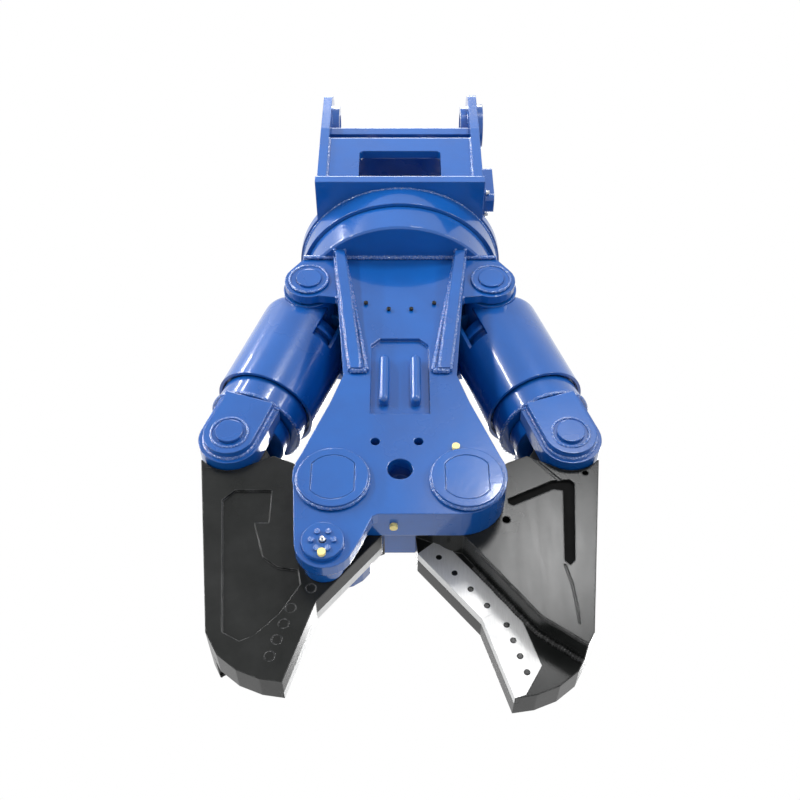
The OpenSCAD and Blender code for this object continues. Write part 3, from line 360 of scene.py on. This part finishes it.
def ground_steel(name, colour, rough, grain, across=(1.0, 1.0, 1.0), strength=0.25, metal=1.0):
    """Bare tool steel from the grinder: bright, with fine parallel scratches."""
    material, tree, shader = blank(name)
    place = add(tree, "ShaderNodeTexCoord").outputs["Object"]
    stretched = add(tree, "ShaderNodeMapping", values={"Scale": across}, links={"Vector": place})
    lines = noise(tree, stretched.outputs["Vector"], grain, 4.0, 0.65)
    cloud = noise(tree, place, 14.0, 3.0)
    shade = blended(tree, ramp(tree, lines, [(0.3, 0.0), (0.8, 1.0)]), full(colour),
                    mixed(colour, (0.25, 0.25, 0.27), 0.22))
    tree.links.new(shade.outputs[2], shader.inputs["Base Color"])
    tree.links.new(ramp(tree, cloud, [(0.3, rough * 0.85), (0.7, rough * 1.2)]), shader.inputs["Roughness"])
    bump = add(tree, "ShaderNodeBump", values={"Strength": strength, "Distance": 0.0006},
               links={"Height": lines, "Normal": soft_edge(tree, 0.0015)})
    tree.links.new(bump.outputs["Normal"], shader.inputs["Normal"])
    shader.inputs["Metallic"].default_value = metal
    return material


def painted_groove_shade():
    """Painted shade for the jaw grooves: a near black, dull sheet that stands in for the shade deep in each
    groove.
    """
    material, tree, shader = blank("black_painted_groove_shade")
    place = add(tree, "ShaderNodeTexCoord").outputs["Object"]
    cloud = noise(tree, place, 80.0, 3.0)
    tree.links.new(ramp(tree, cloud, [(0.3, 0.001), (0.8, 0.004)]), shader.inputs["Base Color"])
    tree.links.new(ramp(tree, cloud, [(0.3, 0.5), (0.8, 0.7)]), shader.inputs["Roughness"])
    shader.inputs["Specular IOR Level"].default_value = 0.05
    return material


def cast_iron():
    """Painted grey cast iron of the motor and rotary union: grainy and nearly matt."""
    material, tree, shader = blank("cast_iron_painted")
    place = add(tree, "ShaderNodeTexCoord").outputs["Object"]
    grain = noise(tree, place, 320.0, 3.0, 0.7)
    tree.links.new(ramp(tree, grain, [(0.3, (0.03, 0.032, 0.036, 1.0)), (0.8, (0.065, 0.068, 0.074, 1.0))]),
                   shader.inputs["Base Color"])
    bump = add(tree, "ShaderNodeBump", values={"Strength": 0.5, "Distance": 0.0008},
               links={"Height": grain, "Normal": soft_edge(tree, 0.002)})
    tree.links.new(bump.outputs["Normal"], shader.inputs["Normal"])
    tree.links.new(ramp(tree, grain, [(0.2, 0.45), (0.8, 0.6)]), shader.inputs["Roughness"])
    return material


def yellow_plastic():
    """Soft polyethylene caps, moulded: pale, waxy and slightly see through at the rim."""
    material, tree, shader = blank("polyethylene_cap_moulded")
    place = add(tree, "ShaderNodeTexCoord").outputs["Object"]
    mottle = noise(tree, place, 260.0, 2.0)
    shade = blended(tree, mottle, full(colours().cap), mixed(colours().cap, (1, 1, 1), 0.3))
    tree.links.new(shade.outputs[2], shader.inputs["Base Color"])
    tree.links.new(ramp(tree, mottle, [(0.2, 0.35), (0.8, 0.5)]), shader.inputs["Roughness"])
    tune(shader, {"Subsurface Weight": 0.15, "Subsurface Radius": (0.003, 0.002, 0.001)})
    return material


# The guide puck's screws were painted with the tool, so they show blue
PAINTED_OVER = {"guide_puck_bolts": "blue_weld"}
# How far the scratches of a ground surface stretch along each axis
BLADE_GRAIN = (1.0, 1.0, 0.08)
TURNED_GRAIN = (1.0, 1.0, 0.2)
CHROME_GRAIN = (1.0, 1.0, 0.3)
BORED_GRAIN = (1.0, 0.2, 1.0)
BLACK = (0, 0, 0)
FINISHES = {}


def finish_for(slot):
    """The material of a slot, made once."""
    if slot not in FINISHES:
        c = colours()
        makers = {
            "blue_paint": blue_enamel,
            "blue_weld": weld_enamel,
            "black_paint": black_satin,
            "black_weld": lambda: black_satin("black_paint_over_weld", mixed(c.black, BLACK, 0.5)[:3]),
            "black_bolts": lambda: black_satin("black_oxide_bolts", mixed(c.black, BLACK, 0.25)[:3]),
            "blade_steel": lambda: ground_steel(
                "tool_steel_ground", c.steel, 0.52, 420.0, BLADE_GRAIN, strength=0.2, metal=0.6),
            "machined_steel": lambda: ground_steel("steel_turned", c.zinc, 0.3, 300.0, TURNED_GRAIN),
            "chrome_rod": lambda: ground_steel(
                "hard_chrome_polished", c.chrome, 0.09, 500.0, CHROME_GRAIN, strength=0.05),
            "zinc_bolts": lambda: ground_steel("zinc_plated_fasteners", c.zinc, 0.38, 240.0),
            "bronze": lambda: ground_steel("bronze_bored", c.bronze, 0.32, 300.0, BORED_GRAIN),
            "motor_iron": cast_iron,
            "painted_groove_shade": painted_groove_shade,
            "yellow_caps": yellow_plastic,
        }
        FINISHES[slot] = makers[slot]()
    return FINISHES[slot]


# Mesh helpers


def piece(name, mesh_bm, slot, body, smooth=40.0, finish=None):
    """Turns a bmesh into an object that takes a slot's finish and moves with a body."""
    if not mesh_bm.verts:
        raise RuntimeError(f"{name} came out empty")
    bmesh.ops.recalc_face_normals(mesh_bm, faces=mesh_bm.faces)
    mesh = bpy.data.meshes.new(name)
    mesh_bm.to_mesh(mesh)
    mesh_bm.free()
    obj = bpy.data.objects.new(name, mesh)
    bpy.context.scene.collection.objects.link(obj)
    mesh.materials.append(finish_for(finish or slot))
    mesh.shade_smooth()
    if smooth < 180:
        mesh.set_sharp_from_angle(angle=math.radians(smooth))
    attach(obj, body)
    return obj


def at(x, y, z):
    """A point given from the slewing axis, in millimetres, as a point of the frame in metres."""
    return Vector((x / MM, y / MM + SLEW_Y, z / MM))


def resample(points, step):
    """Points at equal steps along a line of points."""
    out, left = [points[0].copy()], step
    for a, b in zip(points, points[1:]):
        span = (b - a).length
        gone = 0.0
        while span - gone >= left:
            gone += left
            out.append(a.lerp(b, gone / span))
            left = step
        left -= span - gone
    if (out[-1] - points[-1]).length > step * 0.2:
        out.append(points[-1].copy())
    return out


def bead(mesh_bm, points, radius, pitch, rng, closed=False, sides=8):
    """A rippled weld bead along a line: each ripple starts thick and runs out thin."""
    line = resample(points, pitch / 4)
    rings = []
    wander = rng.uniform(0, 6)
    for i, centre in enumerate(line):
        ahead = line[min(i + 1, len(line) - 1)] - line[max(i - 1, 0)]
        ahead.normalize()
        side = ahead.orthogonal().normalized()
        up = ahead.cross(side)
        phase = (i % 4) / 4
        r = radius * (1.06 - 0.2 * phase + 0.06 * math.sin(i * 0.21 + wander) + rng.uniform(-0.02, 0.02))
        if not closed and (i == 0 or i == len(line) - 1):
            r *= 0.5
        rings.append([mesh_bm.verts.new(centre + (side * math.cos(a) + up * math.sin(a)) * r)
                      for a in [2 * math.pi * k / sides for k in range(sides)]])
    pairs = list(zip(rings, rings[1:]))
    for a, b in pairs:
        best = min(range(sides),
                   key=lambda s: sum((a[k].co - b[(k + s) % sides].co).length for k in range(sides)))
        b[:] = b[best:] + b[:best]
        for k in range(sides):
            mesh_bm.faces.new((a[k], a[(k + 1) % sides], b[(k + 1) % sides], b[k]))
    mesh_bm.faces.new(rings[0])
    mesh_bm.faces.new(list(reversed(rings[-1])))


def circle_points(x, y, z, r, a0=0.0, a1=360.0, flat="y", count=96):
    """Points on a circle that lies across Y or across Z, in millimetres and degrees."""
    out = []
    for i in range(count + 1):
        a = math.radians(a0 + (a1 - a0) * i / count)
        out.append(at(x + r * math.cos(a), y, z + r * math.sin(a)) if flat == "y"
                   else at(x + r * math.cos(a), y + r * math.sin(a), z))
    return out


def turned(mesh_bm, profile, origin, axis, segments=24, phase=0.0):
    """A solid of revolution from (radius, height) pairs along an axis from an origin."""
    axis = axis.normalized()
    side = axis.orthogonal().normalized()
    up = axis.cross(side)
    rings = []
    for r, h in profile:
        if r <= 0:
            rings.append([mesh_bm.verts.new(origin + axis * h)])
            continue
        rings.append([mesh_bm.verts.new(origin + axis * h + (side * math.cos(a) + up * math.sin(a)) * r)
                      for a in [phase + 2 * math.pi * k / segments for k in range(segments)]])
    for a, b in zip(rings, rings[1:]):
        for k in range(segments):
            n = (k + 1) % segments
            if len(a) == 1 and len(b) == 1:
                continue
            if len(a) == 1:
                mesh_bm.faces.new((a[0], b[n], b[k]))
            elif len(b) == 1:
                mesh_bm.faces.new((a[k], a[n], b[0]))
            else:
                mesh_bm.faces.new((a[k], a[n], b[n], b[k]))
    for ring, flip in ((rings[0], True), (rings[-1], False)):
        if len(ring) > 1:
            mesh_bm.faces.new(list(reversed(ring)) if flip else ring)


# Operators


class ShearFinishFrame(bpy.types.Operator):
    """Gives every carried over piece of the frame the finish of its slot"""

    bl_idname = "shear.finish_frame"
    bl_label = "Paint the frame pieces"

    def execute(self, context):
        parts = {p["node"]: p["material_slot"] for p in FRAME["record"]["subparts"]}
        for name, obj in NODES.items():
            slot = PAINTED_OVER.get(name, parts[name])
            obj.data.materials.clear()
            obj.data.materials.append(finish_for(slot))
        return {"FINISHED"}


class ShearStage(bpy.types.Operator):
    """Builds the pale floor, the soft boxes and the camera that looks up at the shear"""

    bl_idname = "shear.stage"
    bl_label = "Stage, lights and camera"

    def execute(self, context):
        scene = context.scene
        scene.view_settings.view_transform = "Standard"
        world = bpy.data.worlds.new("studio_world")
        world.use_nodes = True
        scene.world = world
        tree = world.node_tree
        back = tree.nodes["Background"]
        tune(back, {"Color": SKY, "Strength": SKY_STRENGTH})
        white = add(tree, "ShaderNodeBackground", values={"Color": WHITE, "Strength": 1.0})
        mix_rays(tree, back, white, "World Output")

        floor_bm = bmesh.new()
        bmesh.ops.create_grid(floor_bm, x_segments=FLOOR_CELLS, y_segments=FLOOR_CELLS, size=FLOOR_HALF,
                              matrix=Matrix.Translation((0.0, SLEW_Y, FLOOR_Z)))
        mesh = bpy.data.meshes.new("floor")
        floor_bm.to_mesh(mesh)
        floor_bm.free()
        floor = bpy.data.objects.new("floor", mesh)
        scene.collection.objects.link(floor)
        material, tree, shader = blank("pale_floor")
        place = add(tree, "ShaderNodeTexCoord").outputs["Object"]
        grey = ramp(tree, noise(tree, place, 3.0), [(0.3, 0.55), (0.7, 0.6)])
        tree.links.new(grey, shader.inputs["Base Color"])
        shader.inputs["Roughness"].default_value = 0.8
        glow = add(tree, "ShaderNodeEmission", values={"Color": WHITE, "Strength": 1.0})
        mix_rays(tree, shader, glow, "Material Output")
        mesh.materials.append(material)

        for box in SOFT_BOXES:
            self.box_light(*box)

        lens = bpy.data.cameras.new("camera")
        lens.lens = CAMERA_LENS
        lens.sensor_width = CAMERA_SENSOR
        camera = bpy.data.objects.new("camera", lens)
        scene.collection.objects.link(camera)
        camera.location = CAMERA_PLACE
        camera.rotation_euler = Vector(CAMERA_AIM).to_track_quat("-Z", "Y").to_euler()
        scene.camera = camera
        return {"FINISHED"}

    def box_light(self, name, place, target, wide, high, power):
        """A rectangular soft box that faces a target."""
        data = bpy.data.lights.new(name, "AREA")
        data.shape = "RECTANGLE"
        data.size, data.size_y = wide, high
        data.energy = power
        lamp = bpy.data.objects.new(name, data)
        bpy.context.scene.collection.objects.link(lamp)
        lamp.location = place
        lamp.rotation_euler = (Vector(target) - Vector(place)).to_track_quat("-Z", "Y").to_euler()


def line_mm(*points):
    """Points given from the slewing axis in millimetres, as points of the frame."""
    return [at(*q) for q in points]


def both_signs(points, flip_x=True, flip_y=True):
    """A line of points and its mirror images across the mid planes."""
    for sx in ((1, -1) if flip_x else (1,)):
        for sy in ((1, -1) if flip_y else (1,)):
            yield [(x * sx, y * sy, z) for x, y, z in points]


class ShearBracketWelds(bpy.types.Operator):
    """Lays the weld beads that join the ears, cross plates, base plate and slew housing"""

    bl_idname = "shear.bracket_welds"
    bl_label = "Bracket welds"

    def execute(self, context):
        leg, pitch = sizes().weld_leg, sizes().weld_pitch
        rng = random.Random(sizes().weld_seed)
        ear_in = CROSS_HIGH.x * MM
        ear_out = ear_in + EAR_T_MM
        front = (CROSS_LOW.y - SLEW_Y) * MM
        back = (CROSS_HIGH.y - SLEW_Y) * MM
        top = CROSS_HIGH.z * MM
        # The beads end inside the base plate by a little more than their own radius
        half = (BASE_HIGH.y - BASE_LOW.y - leg * 2.6) * MM / 2
        front = max(front, -half)
        bm = bmesh.new()
        for x, thick in ((ear_in, 1.15), (ear_out, 0.8)):
            for line in both_signs([(x, -half, DECK_MM), (x, half, DECK_MM)], flip_y=False):
                bead(bm, line_mm(*line), leg * thick, pitch, rng)
        for y in (front, back):
            for line in both_signs([(ear_in, y, DECK_MM), (ear_in, y, top)]):
                bead(bm, line_mm(*line), leg, pitch, rng)
            for line in both_signs([(WINDOW_MM, y, DECK_MM), (ear_in, y, DECK_MM)]):
                bead(bm, line_mm(*line), leg, pitch, rng)
        rim = (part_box("slew_housing")[1].x - RIM_INSET) * MM
        bead(bm, circle_points(0, 0, BASE_FOOT_MM, rim, flat="z"), leg * 1.1, pitch, rng)
        piece("bracket_welds", bm, "blue_paint", "bracket", finish="blue_weld")
        return {"FINISHED"}


class ShearFrameWelds(bpy.types.Operator):
    """Lays the weld beads of the ribs, cheeks, bosses and cylinder ears under the turntable"""

    bl_idname = "shear.frame_welds"
    bl_label = "Frame welds"

    def execute(self, context):
        leg, pitch = sizes().weld_leg, sizes().weld_pitch
        rng = random.Random(sizes().weld_seed + 1)
        table, plate, ear_back = TABLE_MM, PLATE_MM, PLATE_MM - CYL_EAR_T_MM
        rib_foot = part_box("gusset_ribs")[0].z * MM
        bm = bmesh.new()
        for line in both_signs([(-NECK_MM, plate, table), (NECK_MM, plate, table)], flip_x=False):
            bead(bm, line_mm(*line), leg, pitch, rng)
        for line in both_signs([(NECK_MM, CHEEK_IN_MM, table), (NECK_MM, plate, table)]):
            bead(bm, line_mm(*line), leg, pitch, rng)
        rib_edges = (
            (RIB_TOP_IN_MM, RIB_LOW_IN_MM, 0),
            (RIB_TOP_OUT_MM, RIB_LOW_OUT_MM, 0),
            (RIB_TOP_IN_MM, RIB_LOW_MID_MM, STRIP_MM),
        )
        for x_top, x_low, proud in rib_edges:
            for line in both_signs([(x_top, plate + proud, table - 2), (x_low, plate + proud, rib_foot)]):
                bead(bm, line_mm(*line), leg * 0.95, pitch, rng)
        for x_top in (RIB_TOP_IN_MM, RIB_TOP_OUT_MM):
            for line in both_signs([(x_top, plate + 2, table), (x_top, plate + RIB_DEEP_MM, table)]):
                bead(bm, line_mm(*line), leg * 0.8, pitch, rng)
        for line in both_signs([(RIB_LOW_IN_MM, plate, rib_foot), (RIB_LOW_OUT_MM, plate, rib_foot)]):
            bead(bm, line_mm(*line), leg * 1.2, pitch, rng)
        rings = ((MAIN_X_MM, MAIN_Z_MM, BOSS_BEAD_MM, 0.75), (TOP_PIN_X_MM, TOP_PIN_Z_MM, RING_BEAD_MM, 0.55))
        for sx in (-1, 1):
            for sy in (-1, 1):
                for x, z, radius, thick in rings:
                    ring = circle_points(sx * x, sy * plate, z, radius)
                    bead(bm, ring, leg * thick, pitch, rng, closed=True)
        for deep in (0, CYL_EAR_T_MM):
            for line in both_signs([(NECK_MM, plate - deep, table), (EAR_REACH_MM, plate - deep, table)]):
                bead(bm, line_mm(*line), leg * 0.9, pitch, rng)
        heel = [(RIB_TOP_OUT_MM, ear_back, table), (EAR_HEEL_X_MM, ear_back, EAR_HEEL_Z_MM),
                (EAR_HEEL_X_MM, plate - 2, EAR_HEEL_Z_MM)]
        for line in both_signs(heel):
            bead(bm, line_mm(*line), leg, pitch, rng)
        piece("frame_welds", bm, "blue_paint", "frame", finish="blue_weld")
        return {"FINISHED"}


def pin_centre_mm(name):
    """Centre of a pin of the frame, in its plane across Y."""
    low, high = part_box(name)
    return Vector(((low.x + high.x) / 2, 0, (low.z + high.z) / 2)) * MM


def round_line(radius, sweep, steps):
    """Pairs along an arc that starts on the first axis."""
    angles = [sweep * k / steps for k in range(steps + 1)]
    return [(radius * math.cos(a), radius * math.sin(a)) for a in angles]


class ShearCylinderWelds(bpy.types.Operator):
    """Lays the weld beads round the pads of the rod forks and round the foot of each gland"""

    bl_idname = "shear.cylinder_welds"
    bl_label = "Cylinder welds"

    def execute(self, context):
        leg, pitch = sizes().weld_leg, sizes().weld_pitch
        rod_pin, top_pin = [pin_centre_mm(name) for name in ("right_rod_pin", "right_top_pin")]
        along = (rod_pin - top_pin).normalized()
        across = Vector((-along.z, 0, along.x))
        dist = (rod_pin - top_pin).length
        crown = dist - CROWN_TOP_MM
        for side, turn in (("right", 1), ("left", -1)):
            rng = random.Random(sizes().weld_seed + 2)

            def place(x, y, s):
                q = top_pin + along * s + across * x
                return at(q.x * turn, y * turn, q.z)

            fork = bmesh.new()
            for y in (-1, 1):
                foot, face = y * PAD_FOOT_MM, y * PAD_FACE_MM
                line = [place(PAD_R_MM, foot, crown + 4),
                        *[place(u, foot, dist + v) for u, v in round_line(PAD_R_MM, math.pi, 40)],
                        place(-PAD_R_MM, foot, crown + 4)]
                bead(fork, line, leg * 0.8, pitch, rng)
                ring = [place(u, face, dist + v) for u, v in round_line(CAP_RING_MM, 2 * math.pi, 60)]
                bead(fork, ring, leg * 0.55, pitch, rng, closed=True)
                line = [place(-FORK_R_MM, foot, crown), place(FORK_R_MM, foot, crown)]
                bead(fork, line, leg * 0.7, pitch, rng)
            piece(f"{side}_fork_welds", fork, "blue_paint", f"{side}_rod", finish="blue_weld")
            gland = bmesh.new()
            low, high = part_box(f"{side}_gland")
            radius = (high.y - low.y) * MM / 2
            ring = [place(u, v, crown - GLAND_RISE_MM) for u, v in round_line(radius, 2 * math.pi, 120)]
            bead(gland, ring, leg * 0.8, pitch, rng, closed=True)
            piece(f"{side}_gland_weld", gland, "blue_paint", f"{side}_cylinder", finish="blue_weld")
        return {"FINISHED"}


def prism(mesh_bm, points):
    """A closed prism between two outlines of equal length."""
    near, far = [[mesh_bm.verts.new(q) for q in outline] for outline in points]
    mesh_bm.faces.new(near)
    mesh_bm.faces.new(list(reversed(far)))
    for k in range(len(near)):
        n = (k + 1) % len(near)
        mesh_bm.faces.new((near[k], near[n], far[n], far[k]))


class ShearJawWelds(bpy.types.Operator):
    """Lays the black bead along the step of each jaw and a near black sheet of painted shade in its grooves
    """

    bl_idname = "shear.jaw_welds"
    bl_label = "Jaw welds"

    def execute(self, context):
        leg, pitch = sizes().weld_leg, sizes().weld_pitch
        for side, turn in (("right", 1), ("left", -1)):
            rng = random.Random(sizes().weld_seed + 3)

            def place(x, y, z):
                return at((MAIN_X_MM + x) * turn, y * turn, MAIN_Z_MM + z)

            bm = bmesh.new()
            bead(bm, [place(x - 2, -2, z - 3) for x, z in STEP_LINE], leg * 1.25, pitch, rng)
            bead(bm, [place(x - 1, -JAW_FACE_MM + 3, z - 2) for x, z in STEP_LINE], leg * 0.7, pitch, rng)
            piece(f"{side}_jaw_bead", bm, "black_paint", f"{side}_jaw", finish="black_weld")
            # A near black sheet on each groove's floor: painted shade that makes the groove read deep and
            # dark
            bm = bmesh.new()
            levels = (-GROOVE_FLOOR_MM - GROOVE_SHADE_MM, -GROOVE_FLOOR_MM)
            prism(bm, [[place(x, y, z) for x, z in GROOVE_LINE] for y in levels])
            piece(f"{side}_groove_painted_shade", bm, "black_paint", f"{side}_jaw", finish="painted_groove_shade")
        return {"FINISHED"}


class ShearGreasePoints(bpy.types.Operator):
    """Screws a grease nipple into the guide puck and drive screws into the corners of the bare plate"""

    bl_idname = "shear.grease_points"
    bl_label = "Grease points"

    def execute(self, context):
        r = sizes().nipple_r
        out = Vector((0, -1, 0))
        screws = bmesh.new()
        for x, z in SCREW_SPOTS:
            turned(screws, SCREW_PROFILE, at(x, -PLATE_MM, z), out, 20)
        piece("drive_screws", screws, "black_bolts", "frame", 50)
        nipples = bmesh.new()
        low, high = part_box("guide_puck")
        centre = Vector(((low.x + high.x) / 2, low.y, (low.z + high.z) / 2))
        turned(nipples, [(r * share, height) for share, height in NIPPLE_PROFILE], centre, out, 18)
        piece("puck_nipple", nipples, "machined_steel", "frame", 40)
        return {"FINISHED"}


OPERATORS = [
    ShearStage,
    ShearFinishFrame,
    ShearBracketWelds,
    ShearFrameWelds,
    ShearCylinderWelds,
    ShearJawWelds,
    ShearGreasePoints,
]


class ShearPanel(bpy.types.Panel):
    """Lists the sizes, the colours and the steps of the shear's looks"""

    bl_idname = "VIEW3D_PT_shear"
    bl_label = "Hydraulic shear"
    bl_space_type = "VIEW_3D"
    bl_region_type = "UI"
    bl_category = "Shear"

    def draw(self, context):
        for group in (context.scene.shear_sizes, context.scene.shear_colours):
            for key in group.__annotations__:
                self.layout.prop(group, key)
        for operator in OPERATORS:
            self.layout.operator(operator.bl_idname)


CLASSES = [ShearSizes, ShearColours, *OPERATORS, ShearPanel]


def register():
    for item in CLASSES:
        bpy.utils.register_class(item)
    bpy.types.Scene.shear_sizes = PointerProperty(type=ShearSizes)
    bpy.types.Scene.shear_colours = PointerProperty(type=ShearColours)


def unregister():
    del bpy.types.Scene.shear_colours
    del bpy.types.Scene.shear_sizes
    for item in reversed(CLASSES):
        bpy.utils.unregister_class(item)


def main():
    """Runs every step in order."""
    register()
    for operator in OPERATORS:
        group, name = operator.bl_idname.split(".")
        getattr(getattr(bpy.ops, group), name)()


if __name__ == "__main__":
    main()
